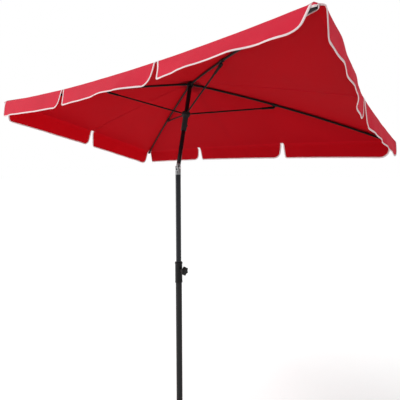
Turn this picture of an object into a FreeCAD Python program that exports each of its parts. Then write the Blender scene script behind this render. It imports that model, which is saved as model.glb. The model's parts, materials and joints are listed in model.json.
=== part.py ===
import FreeCAD, Part
import math
import os
import re
import Sketcher
from FreeCAD import Placement, Rotation, Vector

# Rectangular patio umbrella with a tilting mast on a weighted round base.
# The row's origin is the centre of the base's underside, +Z is up, and the
# canopy's long side runs along X. The mast leans towards +Y at rest.

SIZES = [
    ("canopy_length", 2000, "long side of the canopy, corner to corner"),
    ("canopy_depth", 1250, "short side of the canopy, corner to corner"),
    ("corner_drop", 229, "corner below the hub pivots"),
    ("long_edge_bow", 53, "how far the long edge pulls in at its middle"),
    ("short_edge_bow", 23, "how far the short edge pulls in at its middle"),
    ("valance_depth", 112, "skirt below the fold"),
    ("cloth_thickness", 2.5, "solid that stands for the cloth"),
    ("cloth_lift", 14, "cloth above a rib's centre line"),
    ("panel_gap", 0.5, "between neighbouring quarters of the canopy"),
    ("rib_bow", 20, "rise of a rib above its chord"),
    ("rib_radius", 5.5, ""),
    ("rib_eye_radius", 5, ""),
    ("rib_eye_width", 6, ""),
    ("strut_radius", 4.5, ""),
    ("strut_end_radius", 6.5, ""),
    ("strut_eye_width", 5, ""),
    ("joint_reach", 512, "strut joint from the mast's centre line"),
    ("joint_drop", 94.5, "strut joint below the hub pivots"),
    ("hub_pivot_radius", 13, ""),
    ("hub_radius", 19, ""),
    ("hub_pin_radius", 2, ""),
    ("runner_pivot_radius", 21, ""),
    ("runner_drop", 182, "runner pivots below the hub pivots"),
    ("runner_flange_radius", 25, ""),
    ("runner_body_radius", 16.5, ""),
    ("runner_pin_radius", 1.75, ""),
    ("runner_eye_hole", 3.1, "loose hole of the strut's runner end"),
    ("running_gap", 0.05, "radial gap of a hinge pin"),
    ("slide_gap", 0.25, "radial gap of a sliding tube"),
    ("mast_radius", 12.5, ""),
    ("mast_bore", 11.3, ""),
    ("mast_length", 514, "tilt axis to hub pivots"),
    ("ferrule_top", 27, "top of the bright ferrule above the tilt axis"),
    ("tilt_height", 1780, "tilt axis above the ground"),
    ("tilt_angle", 12.7, "lean of the mast at rest, degrees"),
    ("upper_radius", 16, ""),
    ("upper_bore", 14.5, ""),
    ("upper_bottom", 837, "lower end of the upper pole"),
    ("fork_bottom", 40, "fork's shoulder below the tilt axis"),
    ("lower_radius", 19, ""),
    ("lower_bore", 17.5, ""),
    ("lower_bottom", 56, ""),
    ("lower_top", 1128, ""),
    ("collar_bottom", 1080, ""),
    ("collar_top", 1208, ""),
    ("collar_radius", 22, ""),
    ("collar_knob_height", 1159, ""),
    ("knob_azimuth", 0, "direction of both clamp knobs, degrees from +X"),
    ("knob_radius", 21, "knob's core"),
    ("knob_lobe_radius", 7, ""),
    ("knob_thickness", 20, ""),
    ("screw_radius", 4, ""),
    ("base_radius", 225, ""),
    ("ballast_radius", 195, ""),
    ("ballast_thickness", 42, ""),
    ("mat_thickness", 4, ""),
    ("flange_radius", 60, ""),
    ("flange_thickness", 6, ""),
    ("flange_bolt_circle", 46, "radius of the ring of bolts"),
    ("socket_radius", 24, ""),
    ("socket_bore", 22, ""),
    ("socket_top", 270, ""),
    ("socket_knob_height", 235, ""),
]
ALIASES = {alias for alias, _, _ in SIZES}

doc = FreeCAD.newDocument("PatioUmbrella")
sheet = doc.addObject("Spreadsheet::Sheet", "Sizes")
for row, (alias, value, note) in enumerate(SIZES, 1):
    sheet.set(f"A{row}", alias)
    sheet.set(f"B{row}", str(value))
    sheet.set(f"C{row}", note)
    sheet.setAlias(f"B{row}", alias)
doc.recompute()

Z_AXIS = Vector(0, 0, 1)
nodes = []


def size(alias):
    """A driving dimension's value."""
    return float(sheet.get(alias))


def expression(text):
    """The text with each alias pointing at its cell in the sheet."""
    return re.sub(r"[a-z_]+", lambda word: f"Sizes.{word[0]}" if word[0] in ALIASES else word[0], str(text))


def worth(text):
    """The number that an expression of aliases comes to, so that a sketch starts near its shape."""
    total = 0.0
    for sign, term in re.findall(r"([+-]?)\s*([a-z_]+|[\d.]+)", str(text)):
        number = size(term) if term in ALIASES else float(term)
        total += -number if sign == "-" else number
    return total


def at(x=0, y=0, z=0, axis=Z_AXIS):
    """A placement at a point, with the piece's own Z turned to an axis."""
    return Placement(Vector(x, y, z), Rotation(Z_AXIS, axis))


def bound(kind, name, place, **sizes):
    """A Part primitive whose sizes are bound to the sheet."""
    made = doc.addObject(kind, name)
    for prop, text in sizes.items():
        made.setExpression(prop, expression(text))
    made.Placement = place
    return made


def cylinder(name, radius, height, place=Placement()):
    return bound("Part::Cylinder", name, place, Radius=radius, Height=height)


def crosswise(name, radius, width, x=0, z=0):
    """A cylinder along Y, centred on y = 0."""
    return cylinder(name, radius, width, at(x, worth(width) / 2, z, Vector(0, -1, 0)))


def block(name, length, width, height, x=0, z=0):
    """A box along X, centred across Y, standing on z."""
    return bound("Part::Box", name, at(x, -worth(width) / 2, z), Length=length, Width=width, Height=height)


def cut(name, base, *tools):
    """base less each tool."""
    for number, tool in enumerate(tools, 1):
        made = doc.addObject("Part::Cut", f"{name}_cut{number}")
        made.Base, made.Tool = base, tool
        base = made
    return base


def fuse(name, *pieces):
    made = doc.addObject("Part::MultiFuse", name)
    made.Shapes = list(pieces)
    made.Refine = True
    return made


def turned(name, *profile):
    """A body turned about Z from (radius, height) corners, each bound to the sheet."""
    body = doc.addObject("PartDesign::Body", name)
    plane = next(f for f in body.Origin.OriginFeatures if f.Role == "XZ_Plane")
    sketch = body.newObject("Sketcher::SketchObject", f"{name}_profile")
    sketch.AttachmentSupport = [(plane, "")]
    sketch.MapMode = "FlatFace"
    corners = [Vector(*(worth(text) for text in corner), 0) for corner in profile]
    for start, end in zip(corners, corners[1:] + corners[:1]):
        sketch.addGeometry(Part.LineSegment(start, end), False)
    for line, (radius, height) in enumerate(profile):
        before = line - 1 if line else len(profile) - 1
        sketch.addConstraint(Sketcher.Constraint("Coincident", before, 2, line, 1))
        for way, text, value in (("X", radius, corners[line].x), ("Y", height, corners[line].y)):
            row = sketch.addConstraint(Sketcher.Constraint(f"Distance{way}", -1, 1, line, 1, value))
            sketch.setExpression(f"Constraints[{row}]", expression(text))
    turn = body.newObject("PartDesign::Revolution", f"{name}_turn")
    turn.Profile = sketch
    turn.ReferenceAxis = (sketch, ["V_Axis"])
    turn.Angle = 360
    return body


def ring(name, outer, inner, bottom, top):
    """A plain tube turned about Z."""
    return turned(name, (inner, bottom), (outer, bottom), (outer, top), (inner, top))


def keep(piece, label, place=Placement()):
    """Make a piece one of the umbrella's nodes, at its place."""
    piece.Label = label
    piece.Placement = place
    nodes.append(piece)


def in_knob_direction(reach, height):
    """A placement on the knobs' side, with Z pointing outwards."""
    turn = math.radians(size("knob_azimuth"))
    out = Vector(math.cos(turn), math.sin(turn), 0)
    return Placement(out * reach + Vector(0, 0, height), Rotation(Z_AXIS, out))


# --- Frames -------------------------------------------------------------------
# The mast's frame has its origin on the tilt axis and Z along the mast. Each
# rib's frame has its origin at the hub, level with the pivots, and X outwards.
mast_frame = Placement(Vector(0, 0, size("tilt_height")), Rotation(Vector(1, 0, 0), -size("tilt_angle")))
hub_frame = mast_frame * Placement(Vector(0, 0, size("mast_length")), Rotation())
CORNERS = {
    "front_left": (-1, -1),
    "front_right": (1, -1),
    "back_left": (-1, 1),
    "back_right": (1, 1),
}
half_length, half_depth = size("canopy_length") / 2, size("canopy_depth") / 2
corner_reach = math.hypot(half_length, half_depth)


def rib_turn(corner):
    """The turn about the mast that points X at a corner of the canopy."""
    side, front = CORNERS[corner]
    turn = math.degrees(math.atan2(front * half_depth, side * half_length))
    return Placement(Vector(), Rotation(Z_AXIS, turn))


# --- Base ---------------------------------------------------------------------
keep(cylinder("Mat", "base_radius - 10", "mat_thickness"), "base_mat")
ballast_top = "mat_thickness + ballast_thickness"
keep(cylinder("Ballast", "ballast_radius", "ballast_thickness"), "base_ballast", at(z=size("mat_thickness")))
keep(
    turned(
        "Shell",
        ("base_radius - 3", "mat_thickness"),
        ("base_radius", "mat_thickness"),
        ("base_radius", "mat_thickness + 14"),
        ("base_radius - 5", "mat_thickness + 26"),
        ("base_radius - 19", "mat_thickness + 46"),
        ("flange_radius + 28", "mat_thickness + 55"),
        ("flange_radius + 4", "mat_thickness + 56"),
        ("flange_radius + 4", "mat_thickness + 43"),
        ("flange_radius + 7", "mat_thickness + 43"),
        ("flange_radius + 7", "mat_thickness + 53"),
        ("flange_radius + 28", "mat_thickness + 52"),
        ("base_radius - 21", "mat_thickness + 43.5"),
        ("base_radius - 8", "mat_thickness + 25"),
        ("base_radius - 3", "mat_thickness + 14"),
    ),
    "base_shell",
)
flange_top = f"{ballast_top} + flange_thickness"
flange_seat = worth(ballast_top)
flange = cylinder("Flange_disc", "flange_radius", "flange_thickness")
holes, bolts = [], []
for number in range(1, 5):
    turn = math.radians(90 * number - 45)
    spot = Vector(math.cos(turn), math.sin(turn), 0) * size("flange_bolt_circle")
    place = Placement(spot, Rotation())
    holes.append(cylinder(f"Flange_hole{number}", "screw_radius + 0.3", "flange_thickness", place))
    head = cylinder(f"Bolt_head{number}", "screw_radius + 3", 5, at(z=size("flange_thickness")))
    shank = cylinder(f"Bolt_shank{number}", "screw_radius", "flange_thickness")
    bolt = fuse(f"Bolt{number}", head, shank)
    keep(bolt, f"flange_bolt_{number}", Placement(spot + Vector(0, 0, flange_seat), Rotation()))
keep(cut("Flange", flange, *holes), "base_flange", at(z=flange_seat))

socket = ring("Socket", "socket_radius", "socket_bore", flange_top, "socket_top")
screw_line = in_knob_direction(0, size("socket_knob_height"))
socket_hole = cylinder("Socket_hole", "screw_radius + 0.5", 40, screw_line)
keep(cut("SocketTube", socket, socket_hole), "base_tube")
sleeve = turned(
    "Sleeve",
    ("lower_radius + slide_gap", f"{flange_top} + 1"),
    ("socket_bore - 0.2", f"{flange_top} + 1"),
    ("socket_bore - 0.2", "socket_top"),
    ("socket_radius + 2", "socket_top"),
    ("socket_radius + 2", "socket_top + 4"),
    ("socket_radius - 1", "socket_top + 6"),
    ("lower_radius + slide_gap", "socket_top + 6"),
)
sleeve_hole = cylinder("Sleeve_hole", "screw_radius + 0.5", 40, screw_line)
keep(cut("SocketSleeve", sleeve, sleeve_hole), "base_sleeve")
boss = ring("Boss", "screw_radius + 7", "screw_radius + 0.1", 0, "socket_radius + 13")
boss.Placement = screw_line
boss_cut = cylinder("Boss_saddle", "socket_radius + 0.05", "socket_top")
keep(cut("SocketBoss", boss, boss_cut), "base_clamp_boss")


def clamp_knob(name, label, gap_to, reach, height):
    """A lobed knob with its screw, whose tip stops short of the radius gap_to."""
    core = turned(
        f"{name}_core",
        (0, 0),
        ("screw_radius + 5", 0),
        ("screw_radius + 5", 4),
        ("knob_radius - 2", 6),
        ("knob_radius", 9),
        ("knob_radius", "knob_thickness + 2"),
        ("knob_radius - 3", "knob_thickness + 5"),
        (0, "knob_thickness + 6"),
    )
    lobes = []
    for number in range(6):
        turn = math.radians(60 * number)
        spot = Vector(math.cos(turn), math.sin(turn), 0) * (size("knob_radius") - 1)
        lobe = turned(
            f"{name}_lobe{number}",
            (0, 7),
            ("knob_lobe_radius - 1.5", 7),
            ("knob_lobe_radius", 9),
            ("knob_lobe_radius", "knob_thickness + 1"),
            ("knob_lobe_radius - 1.5", "knob_thickness + 3"),
            (0, "knob_thickness + 3"),
        )
        lobe.Placement = Placement(spot, Rotation())
        lobes.append(lobe)
    blank = fuse(f"{name}_blank", core, *lobes)
    recess = cylinder(f"{name}_recess", "screw_radius - 0.02", 8)
    keep(cut(name, blank, recess), f"{label}_knob", in_knob_direction(reach, height))
    screw = cylinder(f"{name}_screw", "screw_radius - 0.05", reach - worth(gap_to) - 0.3 + 7.5)
    keep(screw, f"{label}_screw", in_knob_direction(worth(gap_to) + 0.3, height))


clamp_knob("SocketKnob", "base_clamp", "lower_radius", size("socket_radius") + 14, size("socket_knob_height"))

# --- Lower pole and its collar --------------------------------------------------
keep(ring("LowerPole", "lower_radius", "lower_bore", "lower_bottom", "lower_top"), "lower_pole")
keep(
    turned(
        "Plug",
        (0, "lower_bottom - 4"),
        ("lower_radius", "lower_bottom - 4"),
        ("lower_radius", "lower_bottom"),
        ("lower_bore - 0.1", "lower_bottom"),
        ("lower_bore - 0.1", "lower_bottom + 22"),
        ("lower_bore - 2", "lower_bottom + 24"),
        (0, "lower_bottom + 24"),
    ),
    "pole_plug",
)
collar = turned(
    "Collar",
    ("lower_radius + 0.05", "collar_bottom"),
    ("collar_radius + 1", "collar_bottom"),
    ("collar_radius + 1", "collar_bottom + 8"),
    ("collar_radius", "collar_bottom + 12"),
    ("collar_radius", "collar_top - 14"),
    ("collar_radius + 1.5", "collar_top - 10"),
    ("collar_radius + 1.5", "collar_top - 3"),
    ("collar_radius - 1", "collar_top"),
    ("upper_radius + slide_gap", "collar_top"),
    ("upper_radius + slide_gap", "lower_top"),
    ("lower_radius + 0.05", "lower_top"),
)
collar_boss = cylinder(
    "Collar_boss", "screw_radius + 7.5", "collar_radius + 9", in_knob_direction(0, size("collar_knob_height"))
)
collar_core = cylinder("Collar_core", "upper_radius + slide_gap", 60, at(z=size("lower_top")))
collar_stub = cut("CollarStub", collar_boss, collar_core)
collar_hole = cylinder(
    "Collar_hole", "screw_radius + 0.3", 60, in_knob_direction(0, size("collar_knob_height"))
)
nut_reach = size("collar_radius") + 3
nut_pocket = cylinder(
    "Nut_pocket", "screw_radius + 4.2", 7, in_knob_direction(nut_reach, size("collar_knob_height"))
)
keep(
    cut("HeightCollar", fuse("Collar_blank", collar, collar_stub), collar_hole, nut_pocket),
    "height_collar",
)
keep(
    ring("CollarNut", "screw_radius + 4", "screw_radius + 0.1", 0, 5.8),
    "collar_nut",
    in_knob_direction(nut_reach, size("collar_knob_height")),
)
knob_reach = size("collar_radius") + 10
clamp_knob("HeightKnob", "height_clamp", "upper_radius", knob_reach, size("collar_knob_height"))

# --- Upper pole and tilt fork ---------------------------------------------------
fork_base = size("tilt_height") - size("fork_bottom")
keep(
    ring("UpperPole", "upper_radius", "upper_bore", "upper_bottom", "tilt_height - fork_bottom"), "upper_pole"
)
keep(
    turned(
        "GlideBush",
        (0, "upper_bottom - 10"),
        ("lower_bore - 0.1", "upper_bottom - 10"),
        ("lower_bore - 0.1", "upper_bottom"),
        ("upper_bore - 0.1", "upper_bottom"),
        ("upper_bore - 0.1", "upper_bottom + 26"),
        (0, "upper_bottom + 26"),
    ),
    "glide_bush",
)
# The fork stands in its own frame, with the tilt axis along X at the origin.
fork_stem = turned(
    "Fork_stem",
    (0, "0 - fork_bottom - 50"),
    ("upper_bore - 0.1", "0 - fork_bottom - 50"),
    ("upper_bore - 0.1", "0 - fork_bottom"),
    ("upper_radius", "0 - fork_bottom"),
    ("upper_radius", -18),
    (0, -18),
)
ear_round = crosswise("Fork_round", 12, 31)
ear_block = block("Fork_block", 24, 31, 20, -12, -20)
slot = block("Fork_slot", 40, 12.6, 30, -20, -14)
ears = doc.addObject("Part::Common", "Fork_ears")
ears.Base = fuse("Fork_bar", ear_round, ear_block)
ears.Tool = cylinder("Fork_outside", "upper_radius", 60, at(z=-30))
fork_blank = cut("Fork_slotted", ears, slot)
fork_blank.Placement = Placement(Vector(), Rotation(Z_AXIS, 90))
pin_bore = cylinder("Fork_bore", "screw_radius + 0.02", 60, at(-30, 0, 0, Vector(1, 0, 0)))
button_bore = cylinder("Fork_button_bore", 4.6, 12, at(0, 8, -29, Vector(0, 1, 0)))
fork = cut("Fork", fuse("Fork_blank", fork_stem, fork_blank), pin_bore, button_bore)
keep(fork, "tilt_fork", at(z=size("tilt_height")))
pin_shank = cylinder("Pin_shank", "screw_radius", 33, at(-16.5, 0, 0, Vector(1, 0, 0)))
pin_head = cylinder("Pin_head", "screw_radius + 2.5", 1.6, at(15.6, 0, 0, Vector(1, 0, 0)))
pin_tail = cylinder("Pin_tail", "screw_radius + 2.5", 1.6, at(-17.2, 0, 0, Vector(1, 0, 0)))
keep(fuse("TiltPin", pin_shank, pin_head, pin_tail), "tilt_pin", at(z=size("tilt_height")))
keep(
    cylinder("TiltButton", 4.4, 8),
    "tilt_button",
    at(0, 11.5, size("tilt_height") - 29, Vector(0, 1, 0)),
)

# --- Mast -----------------------------------------------------------------------
ferrule_stem = turned(
    "Ferrule_stem",
    (0, 13),
    ("mast_radius + 0.5", 13),
    ("mast_radius + 0.5", "ferrule_top - 2"),
    ("mast_radius", "ferrule_top"),
    ("mast_bore - 0.1", "ferrule_top"),
    ("mast_bore - 0.1", "ferrule_top + 34"),
    (0, "ferrule_top + 34"),
)
tongue_round = crosswise("Tongue_round", 11, 12)
tongue_block = block("Tongue_block", 22, 12, 16, -11, 0)
tongue = fuse("Tongue", tongue_round, tongue_block)
tongue.Placement = Placement(Vector(), Rotation(Z_AXIS, 90))
tongue_bore = cylinder("Tongue_bore", "screw_radius + running_gap", 30, at(-15, 0, 0, Vector(1, 0, 0)))
keep(cut("Ferrule", fuse("Ferrule_blank", ferrule_stem, tongue), tongue_bore), "mast_ferrule", mast_frame)
keep(ring("MastTube", "mast_radius", "mast_bore", "ferrule_top", "mast_length - 12"), "mast_tube", mast_frame)

hub_blank = turned(
    "Hub_blank",
    (0, -40),
    ("mast_bore - 0.1", -40),
    ("mast_bore - 0.1", -12),
    ("hub_radius", -12),
    ("hub_radius", 7),
    ("hub_radius - 3", 10),
    (0, 10),
)
hub_cuts = []
for corner in CORNERS:
    slot = block(f"Hub_slot_{corner}", "hub_radius - 5", "rib_eye_width + 0.6", 20, 7, -13)
    hole = crosswise(f"Hub_hole_{corner}", "hub_pin_radius + 0.02", 12, size("hub_pivot_radius"))
    for tool in (slot, hole):
        tool.Placement = rib_turn(corner) * tool.Placement
        hub_cuts.append(tool)
    pin = crosswise(f"HubPin_{corner}", "hub_pin_radius", 12)
    place = hub_frame * rib_turn(corner)
    keep(pin, f"hub_pin_{corner}", place * at(size("hub_pivot_radius"), 6, 0, Vector(0, -1, 0)))
keep(cut("Hub", hub_blank, *hub_cuts), "canopy_hub", hub_frame)
keep(
    turned(
        "Finial",
        (0, 10),
        (4.5, 10),
        (4.5, 21),
        ("hub_radius", 21),
        ("hub_radius", 24),
        ("hub_radius - 9", 29),
        ("hub_radius - 7", 40),
        ("hub_radius - 10", 48),
        (0, 51),
    ),
    "finial",
    hub_frame,
)

# --- Runner ---------------------------------------------------------------------
runner_frame = hub_frame * Placement(Vector(0, 0, -size("runner_drop")), Rotation())
runner_blank = turned(
    "Runner_blank",
    ("mast_radius + slide_gap", -105),
    ("runner_body_radius", -105),
    ("runner_body_radius", -26),
    ("runner_flange_radius", -10),
    ("runner_flange_radius", 8),
    ("mast_radius + slide_gap", 8),
)
runner_boss = cylinder("Runner_boss", 9, 8, at(0, 13, -70, Vector(0, 1, 0)))
runner_core = cylinder("Runner_core", "mast_radius + slide_gap", 60, at(z=-100))
button_hole = cylinder("Runner_button_hole", 5.2, 20, at(0, 8, -70, Vector(0, 1, 0)))
runner_cuts = [button_hole]
for corner in CORNERS:
    slot = block(f"Runner_slot_{corner}", 12, "strut_eye_width + 0.6", 20, 15.6, -7)
    hole = crosswise(f"Runner_hole_{corner}", "runner_pin_radius + 0.02", 13, size("runner_pivot_radius"))
    for tool in (slot, hole):
        tool.Placement = rib_turn(corner) * tool.Placement
        runner_cuts.append(tool)
    pin = crosswise(f"RunnerPin_{corner}", "runner_pin_radius", 13)
    place = runner_frame * rib_turn(corner)
    keep(pin, f"runner_pin_{corner}", place * at(size("runner_pivot_radius"), 6.5, 0, Vector(0, -1, 0)))
runner_solid = fuse("Runner_solid", runner_blank, cut("Runner_stub", runner_boss, runner_core))
keep(cut("Runner", runner_solid, *runner_cuts), "runner", runner_frame)
keep(cylinder("RunnerButton", 5, 7.4), "runner_button", runner_frame * at(0, 15.8, -70, Vector(0, 1, 0)))

# --- Ribs -----------------------------------------------------------------------
# A rib bends as an arc from the hub pivot to the corner. Angles below are slopes
# downwards, measured from the rib frame's X.
pivot = Vector(size("hub_pivot_radius"), 0, 0)
tip = Vector(corner_reach - 4, 0, -size("corner_drop"))
chord = (tip - pivot).Length
arc_radius = chord**2 / (8 * size("rib_bow")) + size("rib_bow") / 2
chord_slope = math.atan2(pivot.z - tip.z, tip.x - pivot.x)
half_turn = math.asin(chord / 2 / arc_radius)
first_slope = chord_slope - half_turn
arc_centre = pivot - Vector(math.sin(first_slope), 0, math.cos(first_slope)) * arc_radius


def along_rib(distance):
    """A placement on the rib's centre line, with Z along the rib and Y across it."""
    slope = first_slope + distance / arc_radius
    out = Vector(math.cos(slope), 0, -math.sin(slope))
    up = Vector(math.sin(slope), 0, math.cos(slope))
    turn = Rotation(-up, Vector(0, 1, 0), out, "ZXY")
    return Placement(arc_centre + up * arc_radius, turn)


def flat_on_rib(distance):
    """The same point, with X along the rib and Z square to it."""
    return along_rib(distance) * Placement(Vector(), Rotation(Vector(0, 1, 0), -90))


def rib_rod(corner, start, end):
    """The rod between two distances along the rib: a slice of a torus."""
    slope = first_slope + start / arc_radius
    ahead = Vector(math.cos(slope), 0, -math.sin(slope))
    up = Vector(math.sin(slope), 0, math.cos(slope))
    rod = bound(
        "Part::Torus",
        f"Rod_{corner}",
        Placement(arc_centre, Rotation(up, ahead, Vector(0, 1, 0), "ZXY")),
        Radius2="rib_radius",
    )
    rod.Radius1 = arc_radius
    rod.Angle3 = math.degrees((end - start) / arc_radius)
    return rod


joint = Vector(size("joint_reach"), 0, -size("joint_drop"))
joint_slope = math.atan2(joint.x - arc_centre.x, joint.z - arc_centre.z)
joint_station = (joint_slope - first_slope) * arc_radius
joint_offset = arc_radius - (joint - arc_centre).Length
rib_end = half_turn * 2 * arc_radius
for corner in CORNERS:
    frame = hub_frame * rib_turn(corner)
    root = flat_on_rib(0)
    eye = crosswise(f"Eye_{corner}", "rib_eye_radius", "rib_eye_width")
    neck = block(f"Neck_{corner}", 14, "rib_eye_width", 7, 0, -3.5)
    eye_hole = crosswise(f"Eye_hole_{corner}", "hub_pin_radius + running_gap", 20)
    shoe = cylinder(f"Shoe_{corner}", "rib_radius + 1.5", 28, at(13, 0, 0, Vector(1, 0, 0)))
    eyelet = cut(f"Eyelet_{corner}", fuse(f"Eyelet_blank_{corner}", eye, neck, shoe), eye_hole)
    eyelet.Placement = root
    rod = rib_rod(corner, 20, rib_end)
    keep(fuse(f"Rib_{corner}", rod, eyelet), f"rib_{corner}", frame)

    clip = cylinder(f"Clip_{corner}", "rib_radius + 3", 30, at(-15, 0, 0, Vector(1, 0, 0)))
    lug = block(f"Lug_{corner}", 10, "strut_eye_width", joint_offset, -5, -joint_offset)
    lug_round = crosswise(f"Lug_round_{corner}", "rib_eye_radius", "strut_eye_width", 0, -joint_offset)
    lug_hole = crosswise(f"Lug_hole_{corner}", "hub_pin_radius + running_gap", 20, 0, -joint_offset)
    rod_hole = cylinder(f"Rod_hole_{corner}", "rib_radius + 0.03", 60, at(-30, 0, 0, Vector(1, 0, 0)))
    bracket_blank = fuse(f"Bracket_blank_{corner}", clip, lug, lug_round)
    bracket = cut(f"Bracket_{corner}", bracket_blank, rod_hole, lug_hole)
    keep(bracket, f"rib_bracket_{corner}", frame * flat_on_rib(joint_station))

    cap = turned(
        f"Cap_{corner}",
        (0, 0.5),
        ("rib_radius + 0.05", 0.5),
        ("rib_radius + 0.05", -22),
        ("rib_radius + 1.5", -22),
        ("rib_radius + 2", 8),
        ("rib_radius", 13),
        (0, 14),
    )
    keep(cap, f"rib_tip_{corner}", frame * along_rib(rib_end))

# --- Struts ---------------------------------------------------------------------
# A strut's frame has its origin on the runner pivot and X towards the rib.
foot = Vector(size("runner_pivot_radius"), 0, -size("runner_drop"))
strut_length = (joint - foot).Length
strut_rise = math.degrees(math.atan2(joint.z - foot.z, joint.x - foot.x))
for corner in CORNERS:
    foot_eye = crosswise(f"Foot_{corner}", 5, "strut_eye_width")
    foot_neck = block(f"Foot_neck_{corner}", 14, "strut_eye_width", 6.4, 0, -3.2)
    stem = cylinder(f"Stem_{corner}", "strut_radius", strut_length - 72, at(12, 0, 0, Vector(1, 0, 0)))
    end = cylinder(
        f"End_{corner}", "strut_end_radius", 56, at(strut_length - 70, 0, 0, Vector(1, 0, 0))
    )
    jaw = block(f"Jaw_{corner}", 20, 14, 10, strut_length - 20, -5)
    jaw_round = crosswise(f"Jaw_round_{corner}", 5, 14, strut_length)
    blank = fuse(f"Strut_blank_{corner}", foot_eye, foot_neck, stem, end, jaw, jaw_round)
    jaw_slot = block(f"Jaw_slot_{corner}", 30, "strut_eye_width + 0.6", 20, strut_length - 13, -10)
    foot_hole = crosswise(f"Foot_hole_{corner}", "runner_eye_hole", 20)
    hollowed = cut(f"Strut_cut_{corner}", blank, jaw_slot, foot_hole)
    rivet = crosswise(f"Rivet_{corner}", "hub_pin_radius", 15, strut_length)
    strut = fuse(f"Strut_{corner}", hollowed, rivet)
    place = Placement(foot, Rotation(Vector(0, 1, 0), -strut_rise))
    keep(strut, f"strut_{corner}", hub_frame * rib_turn(corner) * place)

# --- Canopy ---------------------------------------------------------------------
# Each quarter is one closed solid: flat triangles that follow the rib's bend and
# the saddle between two ribs, with a skirt that hangs from the fold.
FLARE = {"front": 28, "back": 17, "side": 17}  # degrees from plumb
lean = Rotation(Vector(1, 0, 0), -size("tilt_angle"))


def cloth_height(share, bow):
    return -size("corner_drop") * share + 4 * bow * share * (1 - share) + size("cloth_lift")


def canopy_quarter(corner):
    side, front = CORNERS[corner]
    gap = size("panel_gap") / 2
    thickness = size("cloth_thickness")
    along = half_length - size("short_edge_bow")
    across = half_depth - size("long_edge_bow")

    def on_rib(share):
        height = cloth_height(share, size("rib_bow"))
        return Vector(side * half_length * share, front * half_depth * share, height)

    def long_middle(share):
        return Vector(side * gap, front * across * share, cloth_height(share, size("rib_bow") / 2))

    def short_middle(share):
        return Vector(side * along * share, front * gap, cloth_height(share, size("rib_bow") / 2))

    apex = Vector(side * gap, front * gap, size("cloth_lift") + 5)
    slabs = []
    for middle in (long_middle, short_middle):
        for triangle in (
            (apex, on_rib(0.5), middle(0.5)),
            (on_rib(0.5), on_rib(1), middle(1)),
            (on_rib(0.5), middle(1), middle(0.5)),
        ):
            face = Part.Face(Part.makePolygon([*triangle, triangle[0]]))
            slabs.append(face.extrude(Vector(0, 0, thickness)))
    for middle, flare, plain in (
        (long_middle, FLARE["front" if front < 0 else "back"], Vector(0, front, 0)),
        (short_middle, FLARE["side"], Vector(side, 0, 0)),
    ):
        hang = Vector(0, 0, -1) * math.cos(math.radians(flare)) + plain * math.sin(math.radians(flare))
        hang = lean.inverted().multVec(hang)
        start, end = (point - plain * 2 + Vector(0, 0, thickness - 1) for point in (on_rib(1), middle(1)))
        fall = hang * size("valance_depth")
        face = Part.Face(Part.makePolygon([start, end, end + fall, start + fall, start]))
        outwards = (end - start).cross(hang)
        outwards.normalize()
        slabs.append(face.extrude(outwards * math.copysign(thickness, outwards.dot(plain))))
    solid = slabs[0].multiFuse(slabs[1:])
    stem = Part.makeBox(12, 12, 80, Vector(-6, -6, -40))
    tip_room = Part.makeBox(80, 22, 28, Vector(-40, -11, -14))
    tip_room.Placement = rib_turn(corner) * flat_on_rib(rib_end)
    solid = solid.cut(stem).cut(tip_room).removeSplitter()
    quarter = doc.addObject("Part::Feature", f"Canopy_{corner}")
    quarter.Shape = solid.Solids[0] if len(solid.Solids) == 1 else solid
    return quarter


for corner in CORNERS:
    keep(canopy_quarter(corner), f"canopy_{corner}", hub_frame)

# --- Check and write --------------------------------------------------------------
doc.recompute()
failed = [item.Name for item in doc.Objects if {"Invalid", "Error"} & set(item.State)]
if failed:
    raise RuntimeError(f"failed to recompute: {failed}")
os.makedirs("parts", exist_ok=True)
for item in nodes:
    if item.Shape.isNull() or not item.Shape.isValid() or len(item.Shape.Solids) != 1:
        raise RuntimeError(f"{item.Label} is not one valid solid")
for item in nodes:
    item.Shape.exportStep(f"parts/{item.Label}.step")
print(f"{len(nodes)} nodes, strut {strut_length:.2f} long, rising {strut_rise:.2f} degrees")
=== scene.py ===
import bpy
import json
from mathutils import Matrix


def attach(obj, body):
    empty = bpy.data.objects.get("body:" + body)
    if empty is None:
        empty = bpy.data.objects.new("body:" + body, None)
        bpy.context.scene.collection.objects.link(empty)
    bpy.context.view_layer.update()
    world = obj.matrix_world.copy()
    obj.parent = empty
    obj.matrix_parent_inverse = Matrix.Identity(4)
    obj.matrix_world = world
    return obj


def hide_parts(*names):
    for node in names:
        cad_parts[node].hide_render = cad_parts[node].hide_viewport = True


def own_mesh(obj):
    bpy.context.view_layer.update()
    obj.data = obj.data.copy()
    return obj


bl_info = {
    "name": "Rectangular patio umbrella",
    "version": (1, 0, 0),
    "blender": (4, 5, 0),
    "location": "View3D > Sidebar > Umbrella",
    "description": "Cloth, finishes and studio for a rectangular tilting patio umbrella on a round base",
    "category": "Add Mesh",
}

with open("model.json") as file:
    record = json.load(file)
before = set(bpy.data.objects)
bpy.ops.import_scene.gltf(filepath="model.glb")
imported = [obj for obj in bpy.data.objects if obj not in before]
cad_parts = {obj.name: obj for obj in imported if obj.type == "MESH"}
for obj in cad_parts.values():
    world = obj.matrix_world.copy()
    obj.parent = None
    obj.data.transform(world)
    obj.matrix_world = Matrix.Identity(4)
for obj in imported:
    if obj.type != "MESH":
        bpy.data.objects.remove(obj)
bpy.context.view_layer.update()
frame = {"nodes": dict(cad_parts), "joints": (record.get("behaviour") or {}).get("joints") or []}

import json
import math

import bpy
import numpy as np
from mathutils import Vector, noise

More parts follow.
